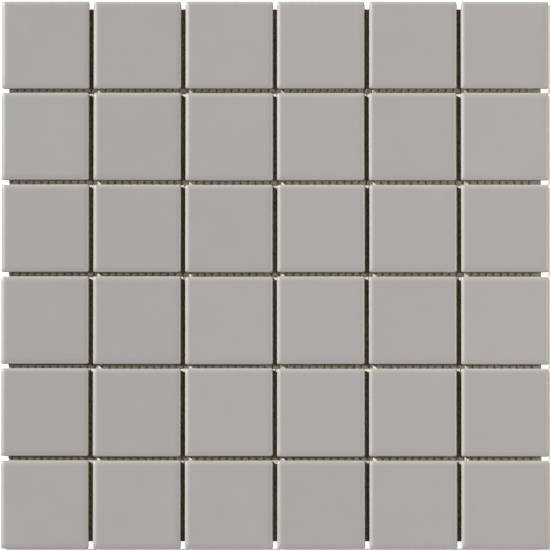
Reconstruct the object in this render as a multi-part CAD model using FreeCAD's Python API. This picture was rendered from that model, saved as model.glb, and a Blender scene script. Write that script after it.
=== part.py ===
"""Mosaic tile sheet: square glazed tiles with soft edges, laid face up in a grid on an open net.

All sizes are millimetres. X runs across the sheet, Y up it, and Z out of the glazed faces.
The origin is at the middle of the sheet, on the underside of the net, which is bedded in adhesive.
"""

import FreeCAD, Part
import math
import os

# Layout of the sheet
COLUMNS = 6
ROWS = 6
TILE_SIZE = 48.0  # one tile across its widest part
JOINT = 2.0  # open joint between two tiles

# Outside of one tile
TILE_THICKNESS = 6.0
CORNER_RADIUS = 1.0  # of the four upright corners
CORNER_FACETS = 3  # flats that stand for one rounded corner
DRAFT_INSET = 0.4  # how far each side wall draws in towards the back
ROLL_WIDTH = 2.9  # border of the face that falls away towards the edge
ROLL_ANGLE = 23.0  # degrees, slope of the long roll where it meets the nose
ROLL_FACETS = 2
NOSE_RADIUS = 1.0  # tighter round at the very edge of the face
NOSE_FACETS = 3

# Keyed back of one tile
GROOVE_COUNT = 6
GROOVE_DEPTH = 0.5
GROOVE_BEVEL = 0.4  # how far the floor of a groove is inside its mouth, on each side
RIB_WIDTH = 2.5  # between two grooves
BACK_BORDER = 5.0  # flat margin around the grooves

# Open net under the tiles
NET_INSET = 4.0  # from the edge of the sheet to the cut edge of the net
NET_PITCH = 4.03  # from one yarn to the next, both ways
WEFT_WIDTH = 1.2  # yarns along X, the lower layer
WARP_WIDTH = 1.8  # yarns along Y, the upper layer, which the tiles are glued to
WEFT_THICKNESS = 0.2
WARP_THICKNESS = 0.2
YARN_BEVEL = 0.15  # slope on the flanks of a yarn, across its width
WEFT_STUB = 2.6  # least free warp end beyond the outer weft yarns
WARP_STUB = 1.93  # least free weft end beyond the outer warp yarns

# Worked out from the sizes above
PITCH = TILE_SIZE + JOINT
SHEET_WIDTH = COLUMNS * PITCH - JOINT
SHEET_HEIGHT = ROWS * PITCH - JOINT
NET_WIDTH = SHEET_WIDTH - 2 * NET_INSET
NET_HEIGHT = SHEET_HEIGHT - 2 * NET_INSET
NET_THICKNESS = WEFT_THICKNESS + WARP_THICKNESS

OUT = "parts"


def closed(points):
    """A wire through the points and back to the first."""
    return Part.makePolygon(points + points[:1])


def stacked_solid(outlines):
    """A solid through a stack of outlines that have the same number of points, lowest first."""
    faces = [Part.Face(closed(outlines[0])), Part.Face(closed(outlines[-1]))]
    for lower, upper in zip(outlines, outlines[1:]):
        for i in range(len(lower)):
            faces.append(Part.Face(closed([lower[i - 1], lower[i], upper[i], upper[i - 1]])))
    solid = Part.makeSolid(Part.makeShell(faces))
    solid.fix(1e-7, 1e-7, 1e-7)
    return solid


def tile_outline(inset, z):
    """Points around a tile with its corners rounded off, a given inset from its widest outline."""
    centre = TILE_SIZE / 2 - inset - CORNER_RADIUS
    points = []
    for quarter in range(4):
        turn = FreeCAD.Rotation(FreeCAD.Vector(0, 0, 1), 90 * quarter)
        for i in range(CORNER_FACETS + 1):
            angle = math.radians(90 * i / CORNER_FACETS)
            x = centre + CORNER_RADIUS * math.cos(angle)
            y = centre + CORNER_RADIUS * math.sin(angle)
            points.append(turn * FreeCAD.Vector(x, y, z))
    return points


def soft_edge():
    """The edge of the face from the widest outline up to the flat middle, as (inset, depth)."""
    slope = math.radians(ROLL_ANGLE)
    nose_width = NOSE_RADIUS * (1 - math.sin(slope))
    roll_radius = (ROLL_WIDTH - nose_width) / math.sin(slope)
    roll_depth = roll_radius * (1 - math.cos(slope))
    edge = []
    for i in range(NOSE_FACETS):
        angle = math.radians(90) - (math.radians(90) - slope) * i / NOSE_FACETS
        inset = NOSE_RADIUS * (1 - math.sin(angle))
        depth = roll_depth + NOSE_RADIUS * (math.cos(slope) - math.cos(angle))
        edge.append((inset, depth))
    for i in range(ROLL_FACETS + 1):
        angle = slope * (1 - i / ROLL_FACETS)
        inset = ROLL_WIDTH - roll_radius * math.sin(angle)
        depth = roll_radius * (1 - math.cos(angle))
        edge.append((inset, depth))
    return edge


def back_groove(centre_y, length, width):
    """One shallow pressed groove along X with sloping walls, open at the back face."""

    def rectangle(inset, z):
        half_x = length / 2 - inset
        half_y = width / 2 - inset
        corners = [(-half_x, -half_y), (half_x, -half_y), (half_x, half_y), (-half_x, half_y)]
        return [FreeCAD.Vector(x, centre_y + y, z) for x, y in corners]

    flare = GROOVE_BEVEL
    return stacked_solid([rectangle(-flare, -GROOVE_DEPTH), rectangle(flare, GROOVE_DEPTH)])


def tile():
    """One tile, centred on the Z axis with its back at z = 0."""
    outlines = [tile_outline(DRAFT_INSET, 0)]
    for inset, depth in soft_edge():
        outlines.append(tile_outline(inset, TILE_THICKNESS - depth))
    body = stacked_solid(outlines)

    field = TILE_SIZE - 2 * (DRAFT_INSET + BACK_BORDER)
    groove_width = (field - (GROOVE_COUNT - 1) * RIB_WIDTH) / GROOVE_COUNT
    first = -(field - groove_width) / 2
    grooves = [
        back_groove(first + i * (groove_width + RIB_WIDTH), field, groove_width)
        for i in range(GROOVE_COUNT)
    ]
    return body.cut(grooves).Solids[0]


def tile_centre(row, column):
    """Middle of a tile's back, with row 0 at the top and column 0 at the left."""
    x = (column - (COLUMNS - 1) / 2) * PITCH
    y = ((ROWS - 1) / 2 - row) * PITCH
    return FreeCAD.Vector(x, y, NET_THICKNESS)


def yarn(length, width, thickness):
    """One flat yarn along X from the origin, with sloping flanks and its lower face at z = 0."""
    flat = width / 2 - YARN_BEVEL
    section = [
        (-flat, 0),
        (flat, 0),
        (width / 2, thickness / 2),
        (flat, thickness),
        (-flat, thickness),
        (-width / 2, thickness / 2),
    ]
    profile = closed([FreeCAD.Vector(0, y, z) for y, z in section])
    return Part.Face(profile).extrude(FreeCAD.Vector(length, 0, 0))


def yarn_places(span, stub, width):
    """Distances of the yarns from the start of a span that leave a stub free at both ends."""
    first = stub + width / 2
    count = int((span - 2 * first) / NET_PITCH) + 1
    return [first + i * NET_PITCH for i in range(count)]


def weft():
    """The lower layer of the net: yarns across the sheet."""
    yarns = []
    for place in yarn_places(NET_HEIGHT, WEFT_STUB, WEFT_WIDTH):
        piece = yarn(NET_WIDTH, WEFT_WIDTH, WEFT_THICKNESS)
        piece.translate(FreeCAD.Vector(-NET_WIDTH / 2, place - NET_HEIGHT / 2, 0))
        yarns.append(piece)
    return Part.makeCompound(yarns)


def warp():
    """The upper layer of the net: yarns up the sheet, lying on the weft and under the tiles."""
    yarns = []
    for place in yarn_places(NET_WIDTH, WARP_STUB, WARP_WIDTH):
        piece = yarn(NET_HEIGHT, WARP_WIDTH, WARP_THICKNESS)
        piece.rotate(FreeCAD.Vector(0, 0, 0), FreeCAD.Vector(0, 0, 1), 90)
        piece.translate(FreeCAD.Vector(place - NET_WIDTH / 2, -NET_HEIGHT / 2, WEFT_THICKNESS))
        yarns.append(piece)
    return Part.makeCompound(yarns)


def save(shape, name):
    shape.exportStep(os.path.join(OUT, name + ".step"))


def main():
    os.makedirs(OUT, exist_ok=True)
    save(weft(), "net_weft")
    save(warp(), "net_warp")
    pattern = tile()
    for row in range(ROWS):
        for column in range(COLUMNS):
            piece = pattern.copy()
            piece.translate(tile_centre(row, column))
            save(piece, f"tile_row{row + 1}_col{column + 1}")


main()
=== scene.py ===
"""Looks of the mosaic tile sheet: satin glazed tiles with soft edges on an open net, from above.

The sheet lies face up. X runs to its right, Y to its top and Z out of the glazed faces. Lengths are
metres, written as millimetres times MM where they are sizes of the real thing.
"""

import math
import random

import bmesh
import bpy
from mathutils import Matrix, Vector, noise

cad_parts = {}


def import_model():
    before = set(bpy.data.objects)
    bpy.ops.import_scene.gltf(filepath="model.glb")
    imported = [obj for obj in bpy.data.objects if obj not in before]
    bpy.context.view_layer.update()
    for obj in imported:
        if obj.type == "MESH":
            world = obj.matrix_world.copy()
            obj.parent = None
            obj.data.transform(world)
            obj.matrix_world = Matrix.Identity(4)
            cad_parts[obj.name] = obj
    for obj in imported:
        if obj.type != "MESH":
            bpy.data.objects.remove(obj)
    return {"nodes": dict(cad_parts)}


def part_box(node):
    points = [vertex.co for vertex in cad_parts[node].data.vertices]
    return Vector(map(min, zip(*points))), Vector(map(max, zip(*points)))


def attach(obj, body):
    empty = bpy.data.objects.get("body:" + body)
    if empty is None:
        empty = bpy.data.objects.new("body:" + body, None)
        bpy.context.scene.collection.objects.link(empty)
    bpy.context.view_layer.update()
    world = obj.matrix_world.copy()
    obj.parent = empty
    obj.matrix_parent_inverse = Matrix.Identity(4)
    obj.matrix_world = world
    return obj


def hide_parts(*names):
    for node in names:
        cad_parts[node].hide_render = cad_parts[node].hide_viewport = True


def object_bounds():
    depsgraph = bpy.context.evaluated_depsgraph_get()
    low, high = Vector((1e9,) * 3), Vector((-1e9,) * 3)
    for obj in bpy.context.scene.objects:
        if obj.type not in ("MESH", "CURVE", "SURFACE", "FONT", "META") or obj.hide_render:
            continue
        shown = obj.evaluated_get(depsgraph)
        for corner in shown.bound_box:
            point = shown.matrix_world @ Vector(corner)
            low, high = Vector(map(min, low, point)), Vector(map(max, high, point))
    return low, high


MM = 0.001
SEED = 7
TILE_SEED = 7000  # of the first tile, and one more for each tile after it

# Tile, with the sizes of the model
CORNER_RADIUS = 1.0 * MM
CORNER_STEPS = 8
SIDE_STEPS = 16
DRAFT_INSET = 0.4 * MM
ROLL_WIDTH = 2.9 * MM
ROLL_ANGLE = math.radians(23)
ROLL_STEPS = 7
NOSE_RADIUS = 1.0 * MM
NOSE_STEPS = 7
FLAT_MARGIN = 1.2 * MM  # flat ring inside the roll, so that the face shades flat
GROOVE_COUNT = 6
GROOVE_DEPTH = 0.5 * MM
GROOVE_BEVEL = 0.4 * MM
RIB_WIDTH = 2.5 * MM
BACK_BORDER = 5.0 * MM
SHARP_ANGLE = math.radians(40)  # between two faces that meet in a sharp edge
CLAY_SLOT = 1  # of a tile's two materials, after the glaze

TILE_PITCH = 50 * MM
LAST_JOINT = 2 * TILE_PITCH  # from the middle of the sheet to its outer joints

# Small differences between fired tiles
TILE_SHRINK = (0.14 * MM, 0.28 * MM)  # least and most that a tile is under its full size
TILE_NARROWER = 0.08 * MM  # how much less a tile measures across than up
TILE_PLAY = 0.12 * MM  # how far a tile may lie off its place, but not past the sheet's outline
LEFT_COLUMN_LIFT = 0.25 * MM  # the first column lies a little higher than the others
TILE_TURN = math.radians(0.05)
SIDE_WOBBLE = 0.03 * MM
WOBBLE_LENGTH = 14 * MM
GLAZE_DROP = 0.5 * MM  # how far the glaze runs down the side walls
GLAZE_DROP_VARIES = 0.25 * MM
GLAZE_WAVE = 5 * MM  # size of the waves in the line where the glaze ends
GLAZE_RIPPLE = 1.6 * MM  # size of the smaller ones on them
RIPPLE_SHARE = 0.3  # height of the smaller ones, as a share of the larger
GLAZE_LIP = 0.05 * MM  # thickness of the glaze where it ends
BACK_ROUND = 0.2 * MM
ROUND_MIDDLE = 0.3  # how far in and up the middle of that round lies, as a share of it
THIN_GLAZE_AND_HIGHLIGHT_WIDTH = 2.2 * MM  # border of the face in which the glaze is thinner and a highlight is painted paler
THIN_GLAZE_AND_HIGHLIGHT_FADE = 1.5  # power by which it fades towards the middle
NOISE_REACH = 90  # largest shift of a tile's noises, so that no two tiles are alike

# Net
NET_PITCH = 4.03 * MM
WEFT_WIDTH = 1.2 * MM
WEFT_PINCH = 0.78  # share of its width that a weft yarn keeps where the warp holds it
WEFT_THICKNESS = 0.14 * MM
WEFT_SIDES = 6
WARP_WIDTH = 1.8 * MM  # of the two twisted threads together
WARP_THREAD = 0.9 * MM  # of one thread, flattened in the open
WARP_THICK = 0.2 * MM
WARP_THIN = 0.12 * MM  # of one thread over or under the weft
WARP_SIDES = 4
WARP_STEPS = 4  # from one weft yarn to the next
LEAST_STEP = 0.01 * MM  # between two points of a yarn where it is cut short
YARN_WAVE = 0.10 * MM
WAVE_LENGTH = 30 * MM
WAVE_APART = 7.31  # between the lines of two yarns in the noise that makes them wander
WAVE_LEVEL = 0.5  # height of those lines in the noise
WARP_FIRST = 100  # number of the first warp yarn there, past the weft yarns
# How far the warp is pulled sideways at the joints, from the bottom up
WARP_DRIFT = (-0.28 * MM, 0.54 * MM, -0.34 * MM, -0.56 * MM, -2.0 * MM)

# Light, camera and floor
KEY_DIRECTION = Vector((0.6064, -0.3389, -0.7193))  # the way the light travels
KEY_STRENGTH = 3.77
KEY_ANGLE = math.radians(2.5)
FILL_PLACE = Vector((1.148, 0.040, 0.964))  # it faces the middle of the sheet
FILL_SIZE = 0.2
FILL_POWER = 5.5
FILL_COLOUR = (1.0, 0.955, 0.86)
SKY_STRENGTH = 0.015
SKY_COLOUR = (1.0, 0.93, 0.58)
CAMERA_HEIGHT = 2.1
CAMERA_TILT = math.radians(2.0)  # it stands a little below the sheet's middle
FRAME_WIDTH = 298.8 * MM  # what the picture spans at the height of the faces
FRAME_CENTRE_Y = -0.35 * MM
SENSOR_WIDTH = 36.0
CLIP_START, CLIP_END = 0.1, 10.0
FLOOR_SIZE = 3.0
FLOOR_DROP = 0.05 * MM
FLOOR_ROUGH = 0.9
FLOOR_LIFT = 0.45  # how much of its white the floor keeps in the sheet's shadow
JOINT_REACH = 1.6 * MM  # from the middle of a joint to the tiles' backs

# Colours, linear
GLAZE = (0.410, 0.391, 0.386)
THIN_GLAZE_AND_HIGHLIGHT = (0.57, 0.543, 0.505)  # paler along the edges: partly where the glaze draws away from them and the clay shows through, partly a painted highlight on the rounded edges
GLAZE_TONES = 6
TONE_SPREAD = 0.014
CLAY = (0.215, 0.162, 0.104)
YARN = (0.75, 0.705, 0.62)
FLOOR = (0.86, 0.82, 0.74)

# Patterns in the materials. A shade is what a colour is multiplied by.
NOISE_RANGE = (0.3, 0.7)  # holds nearly all of a noise
MOTTLE_SIZE = 14 * MM
MOTTLE_SHADES = (0.988, 1.012)
THIN_AND_HIGHLIGHT_PATCH_SIZE = 3 * MM
THIN_AND_HIGHLIGHT_PATCHES = (0.85, 1.1)  # least and most of the thinning and painted highlight that comes through
GRAIN_SIZE = 0.5 * MM
GRAIN_PEAKS = (0.62, 0.80)  # of the noise, where the grain begins and where it is strongest
GRAIN_SHARE = 0.35
GRAIN_SHADE = 0.90
PINHOLE_SIZE = 0.9 * MM
PINHOLE_PEAKS = (0.79, 0.83)
PINHOLE_SHADE = 0.62
SHEEN_SIZE = 6 * MM
GLAZE_ROUGH = (0.33, 0.38)
GLAZE_IOR = 1.52
PEEL_SIZE = 2.2 * MM
PEEL_DEPTH = 0.006 * MM
SATIN_SIZE = 0.35 * MM
SATIN_DEPTH = 0.0015 * MM
CLAY_PATCH_SIZE = 8 * MM
CLAY_SHADES = (0.92, 1.06)
CLAY_ROUGH = (0.80, 0.92)
SPECK_SIZE = 0.45 * MM
SPECK_PEAKS = (0.74, 0.80)
SPECK_SHADE = 0.45
LUMP_SIZE = 1.2 * MM
LUMP_DEPTH = 0.03 * MM
SAND_SIZE = 0.18 * MM
SAND_DEPTH = 0.02 * MM
YARN_PATCH_SIZE = 9 * MM
YARN_SHADES = (0.93, 1.06)
YARN_ROUGH = (0.42, 0.62)
FIBRE_SIZE = 0.09 * MM
FIBRE_STRETCH = 0.03  # along the yarn, which draws the noise out into fibres
FIBRE_PEAKS = (0.35, 0.65)
FIBRE_SHARE = 0.5
FIBRE_SHADE = 0.72
FIBRE_DEPTH = 0.02 * MM


def held(value, low, high):
    """A value kept between two ends."""
    return min(max(value, low), high)


def mesh_object(name, vertices, faces):
    """A new smooth object in the scene, in the sheet's own frame."""
    mesh = bpy.data.meshes.new(name)
    mesh.from_pydata(vertices, [], faces)
    mesh.shade_smooth()
    made = bpy.data.objects.new(name, mesh)
    bpy.context.scene.collection.objects.link(made)
    return made


# Tiles


def tile_ring(half, inset, z):
    """Points around a tile at one height, counter-clockwise from the right side's upper end."""
    centre = half - CORNER_RADIUS - inset
    points = []
    for quarter in range(4):
        turn = Matrix.Rotation(math.radians(90 * quarter), 3, "Z")
        for i in range(CORNER_STEPS):
            angle = math.radians(90) * i / CORNER_STEPS
            x = centre + CORNER_RADIUS * math.cos(angle)
            y = centre + CORNER_RADIUS * math.sin(angle)
            points.append(turn @ Vector((x, y, z)))
        for i in range(SIDE_STEPS):
            x = centre * (1 - 2 * i / SIDE_STEPS)
            points.append(turn @ Vector((x, half - inset, z)))
    return points


def soft_edge():
    """The rounded edge of the face from the widest outline up, as (inset, depth below the face)."""
    nose_width = NOSE_RADIUS * (1 - math.sin(ROLL_ANGLE))
    roll_radius = (ROLL_WIDTH - nose_width) / math.sin(ROLL_ANGLE)
    roll_depth = roll_radius * (1 - math.cos(ROLL_ANGLE))
    upright = math.radians(90)
    edge = []
    for i in range(NOSE_STEPS):
        angle = upright - (upright - ROLL_ANGLE) * i / NOSE_STEPS
        inset = NOSE_RADIUS * (1 - math.sin(angle))
        edge.append((inset, roll_depth + NOSE_RADIUS * (math.cos(ROLL_ANGLE) - math.cos(angle))))
    for i in range(ROLL_STEPS + 1):
        angle = ROLL_ANGLE * (1 - i / ROLL_STEPS)
        inset = ROLL_WIDTH - roll_radius * math.sin(angle)
        edge.append((inset, roll_radius * (1 - math.cos(angle))))
    return edge


def glaze_line(half, inset, z, shift):
    """Two rings where the glaze ends on the side walls: its wavy lower lip, and just above."""
    below, above = [], []
    for point in tile_ring(half, inset, z):
        flat = Vector((point.x, point.y, 0))
        drop = noise.noise(flat / GLAZE_WAVE + shift) * GLAZE_DROP_VARIES
        drop += noise.noise(flat / GLAZE_RIPPLE - shift) * GLAZE_DROP_VARIES * RIPPLE_SHARE
        lip = flat * (1 - GLAZE_LIP / half)
        below.append(Vector((lip.x, lip.y, z + drop - GLAZE_LIP)))
        above.append(Vector((point.x, point.y, z + drop)))
    return below, above


def tile_mesh(name, half, thickness, shift):
    """One tile around the Z axis with its back at z = 0: the object and its number of clay faces."""
    edge = soft_edge()
    widest = thickness - edge[0][1]
    line = widest - GLAZE_DROP
    rings = [
        tile_ring(half, DRAFT_INSET + BACK_ROUND, 0),
        tile_ring(half, DRAFT_INSET + BACK_ROUND * ROUND_MIDDLE, BACK_ROUND * ROUND_MIDDLE),
        tile_ring(half, DRAFT_INSET * (1 - BACK_ROUND / widest), BACK_ROUND),
    ]
    clay_rings = len(rings)
    rings += glaze_line(half, DRAFT_INSET * (1 - line / widest), line, shift)
    edge_start = len(rings)
    for inset, depth in edge:
        rings.append(tile_ring(half, inset, thickness - depth))
    rings.append(tile_ring(half, ROLL_WIDTH + FLAT_MARGIN, thickness))

    count = len(rings[0])
    vertices = []
    for ring in rings:
        for point in ring:
            outward = Vector((point.x, point.y, 0))
            push = noise.noise(outward / WOBBLE_LENGTH + shift) * SIDE_WOBBLE
            vertices.append(point + outward.normalized() * push)
    faces = []
    for level in range(len(rings) - 1):
        low, high = level * count, (level + 1) * count
        for i in range(count):
            j = (i + 1) % count
            faces.append((low + i, low + j, high + j, high + i))
    top = (len(rings) - 1) * count
    faces.append(tuple(range(top, top + count)))
    made = mesh_object(name, vertices, faces)
    add_back(made.data, half, count)
    # share of the paler edge at each ring of the roll: thinner glaze and a painted highlight
    thinned_and_highlit = made.data.attributes.new("thinned_and_highlit", "FLOAT", "POINT")
    for level, (inset, _) in enumerate(edge, edge_start):
        share = max(0, 1 - inset / THIN_GLAZE_AND_HIGHLIGHT_WIDTH) ** THIN_GLAZE_AND_HIGHLIGHT_FADE
        for i in range(count):
            thinned_and_highlit.data[level * count + i].value = share
    return made, clay_rings * count


def groove_lines(half):
    """Lines across and along the grooved part of the back, each with its share of the depth."""
    reach = half - DRAFT_INSET - BACK_BORDER
    width = (2 * reach - (GROOVE_COUNT - 1) * RIB_WIDTH) / GROOVE_COUNT

    def trough(low, high):
        """The lines of one groove, or of all of them lengthways, from one rim to the other."""
        return [(low, 0), (low + GROOVE_BEVEL, 1), (high - GROOVE_BEVEL, 1), (high, 0)]

    rows = []
    for i in range(GROOVE_COUNT):
        low = -reach + i * (width + RIB_WIDTH)
        rows += trough(low, low + width)
    return trough(-reach, reach), rows


def add_back(mesh, half, count):
    """Closes the back of a tile, with its pressed grooves, inside the first ring of its mesh."""
    columns, rows = groove_lines(half)
    bm = bmesh.new()
    bm.from_mesh(mesh)
    bm.verts.ensure_lookup_table()
    ring = bm.verts[:count]
    grid = []
    for y, in_y in rows:
        grid.append([bm.verts.new((x, y, GROOVE_DEPTH * min(in_x, in_y))) for x, in_x in columns])
    made = []
    for lower, upper in zip(grid, grid[1:]):
        for i in range(len(columns) - 1):
            made.append(bm.faces.new((lower[i], upper[i], upper[i + 1], lower[i + 1])))
    around = grid[0] + [line[-1] for line in grid[1:-1]] + grid[-1][::-1]
    around += [line[0] for line in grid[-2:0:-1]]
    edges = [bm.edges.get((around[i - 1], around[i])) for i in range(len(around))]
    edges += [bm.edges.get((ring[i - 1], ring[i])) for i in range(count)]
    filled = bmesh.ops.triangle_fill(bm, edges=edges, use_beauty=True, normal=(0, 0, -1))
    made += [item for item in filled["geom"] if isinstance(item, bmesh.types.BMFace)]
    for face in made:
        face.material_index = CLAY_SLOT
        face.smooth = True
        face.normal_update()
        if face.normal.z > 0:
            face.normal_flip()
    bm.to_mesh(mesh)
    bm.free()


def dress_tile(node, index, glaze, clay, sheet):
    """Replaces one tile of the model by its detailed mesh, a little off its exact size and place."""
    low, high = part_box(node)
    sheet_low, sheet_high = sheet
    chance = random.Random(TILE_SEED + index)
    half = (high.x - low.x) / 2
    shift = Vector([chance.uniform(0, NOISE_REACH) for axis in range(3)])
    made, clay_faces = tile_mesh(node + "_fired", half, high.z - low.z, shift)
    mesh = made.data
    for face in mesh.polygons[:clay_faces]:
        face.material_index = CLAY_SLOT
    shrink_x = (chance.uniform(*TILE_SHRINK) + TILE_NARROWER) / 2
    shrink_y = chance.uniform(*TILE_SHRINK) / 2
    scale = Matrix.Diagonal((1 - shrink_x / half, 1 - shrink_y / half, 1, 1))
    turn = Matrix.Rotation(chance.uniform(-TILE_TURN, TILE_TURN), 4, "Z")
    place = (low + high) / 2
    lift = LEFT_COLUMN_LIFT if node.endswith("_col1") else 0
    play_x = chance.uniform(-TILE_PLAY, TILE_PLAY) + TILE_NARROWER / 2
    play_y = chance.uniform(-TILE_PLAY, TILE_PLAY) + lift
    furthest_right = sheet_high.x - half + TILE_NARROWER / 2
    place.x = held(place.x + play_x, sheet_low.x + half, furthest_right)
    place.y = held(place.y + play_y, sheet_low.y + half, sheet_high.y - half)
    place.z = low.z
    mesh.transform(Matrix.Translation(place) @ turn @ scale)
    mesh.materials.append(glaze)
    mesh.materials.append(clay)
    mesh.set_sharp_from_angle(angle=SHARP_ANGLE)
    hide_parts(node)
    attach(made, "root")


# Net


def section(sides):
    """Points around a flattened yarn, each from -1 to 1 across and up."""
    angles = [2 * math.pi * (i + 0.5) / sides for i in range(sides)]
    widest = max(math.cos(angle) for angle in angles)
    tallest = max(math.sin(angle) for angle in angles)
    return [(math.cos(angle) / widest, math.sin(angle) / tallest) for angle in angles]


def add_yarn(vertices, faces, path, sideways, sides):
    """Adds a closed yarn to a mesh. The path gives each place with its half width and height."""
    start = len(vertices)
    around = section(sides)
    for place, half_width, half_height in path:
        for across, up in around:
            vertices.append(place + sideways * (across * half_width) + Vector((0, 0, up * half_height)))
    for level in range(len(path) - 1):
        low = start + level * sides
        high = low + sides
        for i in range(sides):
            j = (i + 1) % sides
            faces.append((low + i, low + j, high + j, high + i))
    end = len(vertices) - sides
    faces.append(tuple(range(start + sides - 1, start - 1, -1)))
    faces.append(tuple(range(end, end + sides)))


def wave(along, which):
    """Sideways wander of one yarn at a point along it."""
    return noise.noise(Vector((along / WAVE_LENGTH, which * WAVE_APART, WAVE_LEVEL))) * YARN_WAVE


def net_box():
    """The two corners of the box around both layers of yarns."""
    weft_low, weft_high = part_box("net_weft")
    warp_low, warp_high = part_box("net_warp")
    low = Vector((weft_low.x, warp_low.y, weft_low.z))
    high = Vector((weft_high.x, warp_high.y, warp_high.z))
    return low, high


def places(low, high, width):
    """Middles of the yarns of one layer, from the box of its node."""
    count = round((high - low - width) / NET_PITCH) + 1
    return [low + width / 2 + i * NET_PITCH for i in range(count)]


def drift(y):
    """How far the warp is pulled sideways at a height on the sheet."""
    place = y / TILE_PITCH + (len(WARP_DRIFT) - 1) / 2
    below = held(int(place), 0, len(WARP_DRIFT) - 2)
    share = held(place - below, 0, 1)
    share = share * share * (3 - 2 * share)
    return WARP_DRIFT[below] * (1 - share) + WARP_DRIFT[below + 1] * share


def weft_yarns(low, high, rows, columns):
    """Flat yarns across the sheet, pinched where the warp holds them."""
    left, right = low.x, high.x
    middle = (low.z + high.z) / 2
    vertices, faces = [], []
    for which, y in enumerate(rows):
        shift = drift(y)
        stops = [left]
        for x in columns:
            stops += [x + shift - NET_PITCH / 2, x + shift]
        stops += [columns[-1] + shift + NET_PITCH / 2, right]
        path = []
        for i, x in enumerate(stops):
            pinched = 0 < i < len(stops) - 2 and i % 2 == 0
            width = WEFT_WIDTH * (WEFT_PINCH if pinched else 1) / 2
            x = held(x, left + i * LEAST_STEP, right)
            path.append((Vector((x, y + wave(x, which), middle)), width, WEFT_THICKNESS / 2))
        add_yarn(vertices, faces, path, Vector((0, 1, 0)), WEFT_SIDES)
    return mesh_object("net_weft_yarns", vertices, faces)


def warp_threads(low, high, rows, columns, side):
    """One of the two threads of every warp yarn, twisted round the weft and round each other."""
    front, back = low.y, high.y
    middle = (low.z + high.z) / 2
    lift = (high.z - low.z - WARP_THIN) / 2
    swing = (WARP_WIDTH - WARP_THREAD) / 2
    step = NET_PITCH / WARP_STEPS
    first = int((front - rows[0]) / step)
    last = int((back - rows[0]) / step)
    vertices, faces = [], []
    for which, x in enumerate(columns):
        path = []
        stops = [front] + [rows[0] + i * step for i in range(first, last + 1)] + [back]
        for y in stops:
            turn = math.pi * ((y - rows[0]) / NET_PITCH + which)
            beside, over = math.sin(turn) * side, math.cos(turn) * side
            open_share = abs(beside)
            across = x + drift(y) + wave(y, which + WARP_FIRST) + beside * swing
            place = Vector((across, y, middle + over * lift))
            thick = WARP_THIN + (WARP_THICK - WARP_THIN) * open_share
            path.append((place, WARP_THREAD / 2, thick / 2))
        add_yarn(vertices, faces, path, Vector((-1, 0, 0)), WARP_SIDES)
    name = "net_warp_threads_a" if side > 0 else "net_warp_threads_b"
    return mesh_object(name, vertices, faces)


def dress_net(weft_material, warp_material):
    """Replaces the two plain layers of yarns by a net whose warp is twisted round its weft."""
    low, high = net_box()
    weft_low, weft_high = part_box("net_weft")
    warp_low, warp_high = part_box("net_warp")
    rows = places(weft_low.y, weft_high.y, WEFT_WIDTH)
    columns = places(warp_low.x, warp_high.x, WARP_WIDTH)
    weft = weft_yarns(low, high, rows, columns)
    weft.data.materials.append(weft_material)
    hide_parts("net_weft")
    threads = [warp_threads(low, high, rows, columns, side) for side in (1, -1)]
    for thread in threads:
        thread.data.materials.append(warp_material)
        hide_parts("net_warp")
    for piece in [weft] + threads:
        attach(piece, "root")


# Materials


class Nodes:
    """The node tree of a new material or world, with short ways to add to it."""

    def __init__(self, owner, shader="Principled BSDF"):
        owner.use_nodes = True
        self.owner = owner
        self.tree = owner.node_tree
        self.shader = self.tree.nodes[shader]

    def add(self, kind, **values):
        """A new node of one kind, with its settings."""
        node = self.tree.nodes.new(kind)
        for key, value in values.items():
            setattr(node, key, value)
        return node

    def link(self, source, target):
        """Joins an output to an input."""
        self.tree.links.new(source, target)

    def place(self, scale=(1, 1, 1)):
        """The point on the sheet, in metres, stretched by a scale."""
        point = self.add("ShaderNodeTexCoord").outputs["Object"]
        if scale == (1, 1, 1):
            return point
        stretch = self.add("ShaderNodeVectorMath", operation="MULTIPLY")
        self.link(point, stretch.inputs[0])
        stretch.inputs[1].default_value = scale
        return stretch.outputs["Vector"]

    def noise(self, size, point, detail=2):
        """Noise whose blotches are about a given size in metres."""
        node = self.add("ShaderNodeTexNoise")
        self.link(point, node.inputs["Vector"])
        node.inputs["Scale"].default_value = 1 / size
        node.inputs["Detail"].default_value = detail
        return node.outputs["Fac"]

    def math(self, operation, first, second=0.0):
        """Works out one value from two, each a number or a socket."""
        node = self.add("ShaderNodeMath", operation=operation)
        for socket, value in zip(node.inputs, (first, second)):
            if isinstance(value, float):
                socket.default_value = value
            else:
                self.link(value, socket)
        return node.outputs[0]

    def span(self, value, low, high, start=0.0, end=1.0):
        """Carries a value from one range to another, held at the ends."""
        node = self.add("ShaderNodeMapRange", clamp=True)
        self.link(value, node.inputs["Value"])
        node.inputs["From Min"].default_value = low
        node.inputs["From Max"].default_value = high
        node.inputs["To Min"].default_value = start
        node.inputs["To Max"].default_value = end
        return node.outputs["Result"]

    def mix(self, share, first, second):
        """Blends two colours, each a colour or a socket."""
        node = self.add("ShaderNodeMix", data_type="RGBA")
        self.link(share, node.inputs["Factor"])
        for name, value in (("A", first), ("B", second)):
            socket = [s for s in node.inputs if s.name == name and s.type == "RGBA"][0]
            if isinstance(value, tuple):
                socket.default_value = (*value, 1)
            else:
                self.link(value, socket)
        return [s for s in node.outputs if s.type == "RGBA"][0]

    def bump(self, height, depth, after=None):
        """A bump of a given depth in metres, over another if one is given."""
        node = self.add("ShaderNodeBump")
        node.inputs["Strength"].default_value = 1
        node.inputs["Distance"].default_value = depth
        self.link(height, node.inputs["Height"])
        if after is not None:
            self.link(after, node.inputs["Normal"])
        return node.outputs["Normal"]


def shade(colour, factor):
    """A colour made darker or lighter by a factor."""
    return tuple(channel * factor for channel in colour)


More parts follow.
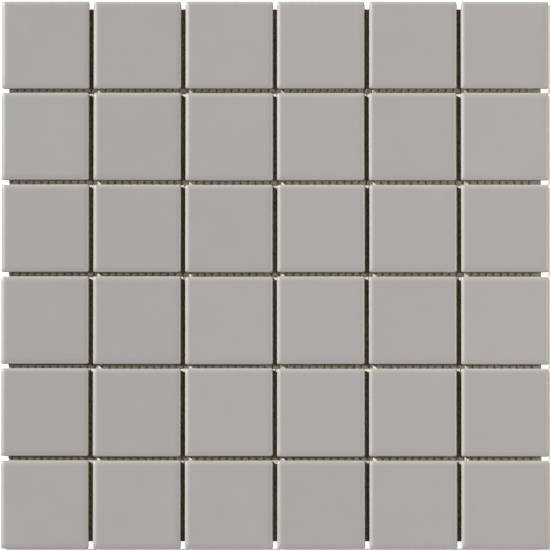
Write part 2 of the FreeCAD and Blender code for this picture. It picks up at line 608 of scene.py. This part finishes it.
def glaze_material(name, tone):
    """Satin glaze: a faint mottle, paler along the edges where it is thin and with a painted highlight
    there, rare pinholes and a slight waviness.
    """
    nodes = Nodes(bpy.data.materials.new(name))
    point = nodes.place()
    mottle = nodes.span(nodes.noise(MOTTLE_SIZE, point), *NOISE_RANGE)
    colour = nodes.mix(mottle, shade(tone, MOTTLE_SHADES[0]), shade(tone, MOTTLE_SHADES[1]))
    # paler towards the edges: thinner glaze, and a painted highlight on the rounded edges
    thinned_and_highlit = nodes.add("ShaderNodeAttribute", attribute_name="thinned_and_highlit").outputs["Fac"]
    patchy = nodes.span(nodes.noise(THIN_AND_HIGHLIGHT_PATCH_SIZE, point), *NOISE_RANGE, *THIN_AND_HIGHLIGHT_PATCHES)
    colour = nodes.mix(nodes.math("MULTIPLY", thinned_and_highlit, patchy), colour, THIN_GLAZE_AND_HIGHLIGHT)
    grain = nodes.span(nodes.noise(GRAIN_SIZE, point, detail=3), *GRAIN_PEAKS, 0, GRAIN_SHARE)
    colour = nodes.mix(grain, colour, shade(tone, GRAIN_SHADE))
    pinhole = nodes.span(nodes.noise(PINHOLE_SIZE, point, detail=1), *PINHOLE_PEAKS)
    colour = nodes.mix(pinhole, colour, shade(tone, PINHOLE_SHADE))
    nodes.link(colour, nodes.shader.inputs["Base Color"])
    rough = nodes.span(nodes.noise(SHEEN_SIZE, point), *NOISE_RANGE, *GLAZE_ROUGH)
    nodes.link(rough, nodes.shader.inputs["Roughness"])
    nodes.shader.inputs["IOR"].default_value = GLAZE_IOR
    peel = nodes.bump(nodes.noise(PEEL_SIZE, point, detail=1), PEEL_DEPTH)
    satin = nodes.bump(nodes.noise(SATIN_SIZE, point), SATIN_DEPTH, peel)
    nodes.link(satin, nodes.shader.inputs["Normal"])
    return nodes.owner


def clay_material():
    """Bare pressed and fired clay: dry and grainy, with small iron specks."""
    nodes = Nodes(bpy.data.materials.new("clay"))
    point = nodes.place()
    patches = nodes.span(nodes.noise(CLAY_PATCH_SIZE, point, detail=4), *NOISE_RANGE)
    colour = nodes.mix(patches, shade(CLAY, CLAY_SHADES[0]), shade(CLAY, CLAY_SHADES[1]))
    speck = nodes.span(nodes.noise(SPECK_SIZE, point, detail=1), *SPECK_PEAKS)
    colour = nodes.mix(speck, colour, shade(CLAY, SPECK_SHADE))
    nodes.link(colour, nodes.shader.inputs["Base Color"])
    nodes.link(nodes.span(patches, 0, 1, *CLAY_ROUGH), nodes.shader.inputs["Roughness"])
    lumps = nodes.bump(nodes.noise(LUMP_SIZE, point, detail=4), LUMP_DEPTH)
    sand = nodes.bump(nodes.noise(SAND_SIZE, point, detail=3), SAND_DEPTH, lumps)
    nodes.link(sand, nodes.shader.inputs["Normal"])
    return nodes.owner


def yarn_material(name, along):
    """Coated glass yarn: cream, with fine fibres that run along it."""
    nodes = Nodes(bpy.data.materials.new(name))
    stretch = (FIBRE_STRETCH, 1, 1) if along == "X" else (1, FIBRE_STRETCH, 1)
    fibres = nodes.noise(FIBRE_SIZE, nodes.place(stretch))
    patches = nodes.span(nodes.noise(YARN_PATCH_SIZE, nodes.place()), *NOISE_RANGE)
    colour = nodes.mix(patches, shade(YARN, YARN_SHADES[0]), shade(YARN, YARN_SHADES[1]))
    fibre_share = nodes.span(fibres, *FIBRE_PEAKS, 0, FIBRE_SHARE)
    colour = nodes.mix(fibre_share, colour, shade(YARN, FIBRE_SHADE))
    nodes.link(colour, nodes.shader.inputs["Base Color"])
    nodes.link(nodes.span(fibres, *NOISE_RANGE, *YARN_ROUGH), nodes.shader.inputs["Roughness"])
    nodes.link(nodes.bump(fibres, FIBRE_DEPTH), nodes.shader.inputs["Normal"])
    return nodes.owner


# Stage


def floor_material(net_low, net_high, sheet_low, sheet_high):
    """Pale floor, which the camera sees white around the sheet and in the joints beyond the net."""
    nodes = Nodes(bpy.data.materials.new("floor"))
    nodes.shader.inputs["Base Color"].default_value = (*FLOOR, 1)
    nodes.shader.inputs["Roughness"].default_value = FLOOR_ROUGH
    split = nodes.add("ShaderNodeSeparateXYZ")
    nodes.link(nodes.place(), split.inputs[0])

    def beyond(axis, low, high):
        """1 outside a stretch of one axis, 0 inside it."""
        distance = nodes.math("ABSOLUTE", nodes.math("SUBTRACT", split.outputs[axis], (low + high) / 2))
        return nodes.math("GREATER_THAN", distance, (high - low) / 2)

    def outside(low, high):
        """1 outside a rectangle, 0 inside it."""
        return nodes.math("MAXIMUM", beyond("X", low.x, high.x), beyond("Y", low.y, high.y))

    def in_joint(axis):
        """1 in the joints that one axis crosses, 0 elsewhere."""
        nearest = nodes.math("PINGPONG", split.outputs[axis], TILE_PITCH / 2)
        past_last = nodes.math("SUBTRACT", nodes.math("ABSOLUTE", split.outputs[axis]), LAST_JOINT)
        return nodes.math("LESS_THAN", nodes.math("MAXIMUM", nearest, past_last), JOINT_REACH)

    off_sheet = outside(sheet_low, sheet_high)
    border = nodes.math("SUBTRACT", outside(net_low, net_high), off_sheet)
    joint_ends = nodes.math("MULTIPLY", border, nodes.math("MAXIMUM", in_joint("X"), in_joint("Y")))
    lift = nodes.math("ADD", nodes.math("MULTIPLY", off_sheet, FLOOR_LIFT), joint_ends)
    rays = nodes.add("ShaderNodeLightPath").outputs
    seen = nodes.math("MAXIMUM", rays["Is Camera Ray"], rays["Is Glossy Ray"])
    seen = nodes.math("MAXIMUM", seen, rays["Is Transmission Ray"])
    nodes.shader.inputs["Emission Color"].default_value = (1, 1, 1, 1)
    nodes.link(nodes.math("MULTIPLY", lift, seen), nodes.shader.inputs["Emission Strength"])
    return nodes.owner


def make_floor(cad_box):
    """The floor, just under the net."""
    half = FLOOR_SIZE / 2
    z = cad_box[0].z - FLOOR_DROP
    corners = [(-half, -half, z), (half, -half, z), (half, half, z), (-half, half, z)]
    floor = mesh_object("floor", [Vector(corner) for corner in corners], [(0, 1, 2, 3)])
    floor.data.materials.append(floor_material(*net_box(), *cad_box))


def make_world():
    """A faint even sky for light, white to the eye."""
    world = bpy.data.worlds.new("studio")
    bpy.context.scene.world = world
    nodes = Nodes(world, "Background")
    rays = nodes.add("ShaderNodeLightPath").outputs
    seen = nodes.math("MAXIMUM", rays["Is Camera Ray"], rays["Is Transmission Ray"])
    nodes.link(nodes.span(seen, 0, 1, SKY_STRENGTH, 1.0), nodes.shader.inputs["Strength"])
    nodes.link(nodes.mix(seen, SKY_COLOUR, (1, 1, 1)), nodes.shader.inputs["Color"])


def add_light(data, place, direction):
    """Adds a light at a place, shining in a direction."""
    light = bpy.data.objects.new(data.name, data)
    light.location = place
    light.rotation_mode = "QUATERNION"
    light.rotation_quaternion = direction.to_track_quat("-Z", "Y")
    bpy.context.scene.collection.objects.link(light)


def make_lights():
    """A key light from the upper left, far away, and a small warm fill from the right."""
    key = bpy.data.lights.new("key", "SUN")
    key.energy = KEY_STRENGTH
    key.angle = KEY_ANGLE
    add_light(key, (0, 0, 0), KEY_DIRECTION)
    fill = bpy.data.lights.new("fill", "AREA")
    fill.energy = FILL_POWER
    fill.size = FILL_SIZE
    fill.color = FILL_COLOUR
    add_light(fill, FILL_PLACE, -FILL_PLACE)


def make_camera(face_z):
    """A camera far above the sheet, which spans the frame's width at the height of the faces."""
    data = bpy.data.cameras.new("camera")
    data.sensor_width = SENSOR_WIDTH
    data.lens = SENSOR_WIDTH * CAMERA_HEIGHT / FRAME_WIDTH
    data.clip_start = CLIP_START
    data.clip_end = CLIP_END
    camera = bpy.data.objects.new("camera", data)
    middle = Vector((0, FRAME_CENTRE_Y, face_z))
    back = Vector((0, -math.sin(CAMERA_TILT), math.cos(CAMERA_TILT)))
    camera.location = middle + back * CAMERA_HEIGHT
    camera.rotation_euler = (CAMERA_TILT, 0, 0)
    bpy.context.scene.collection.objects.link(camera)
    bpy.context.scene.camera = camera


def main():
    """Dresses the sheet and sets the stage."""
    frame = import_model()
    cad_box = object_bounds()
    clay = clay_material()
    glazes = []
    for i in range(GLAZE_TONES):
        share = 2 * i / (GLAZE_TONES - 1) - 1
        glazes.append(glaze_material(f"glaze_{i + 1}", shade(GLAZE, 1 + TONE_SPREAD * share)))
    chance = random.Random(SEED)
    tiles = sorted(node for node in frame["nodes"] if node.startswith("tile_"))
    for index, node in enumerate(tiles):
        dress_tile(node, index, chance.choice(glazes), clay, cad_box)
    dress_net(yarn_material("weft_yarn", "X"), yarn_material("warp_yarn", "Y"))
    make_floor(cad_box)
    make_world()
    make_lights()
    make_camera(cad_box[1].z)
    bpy.context.scene.view_settings.view_transform = "Standard"


main()
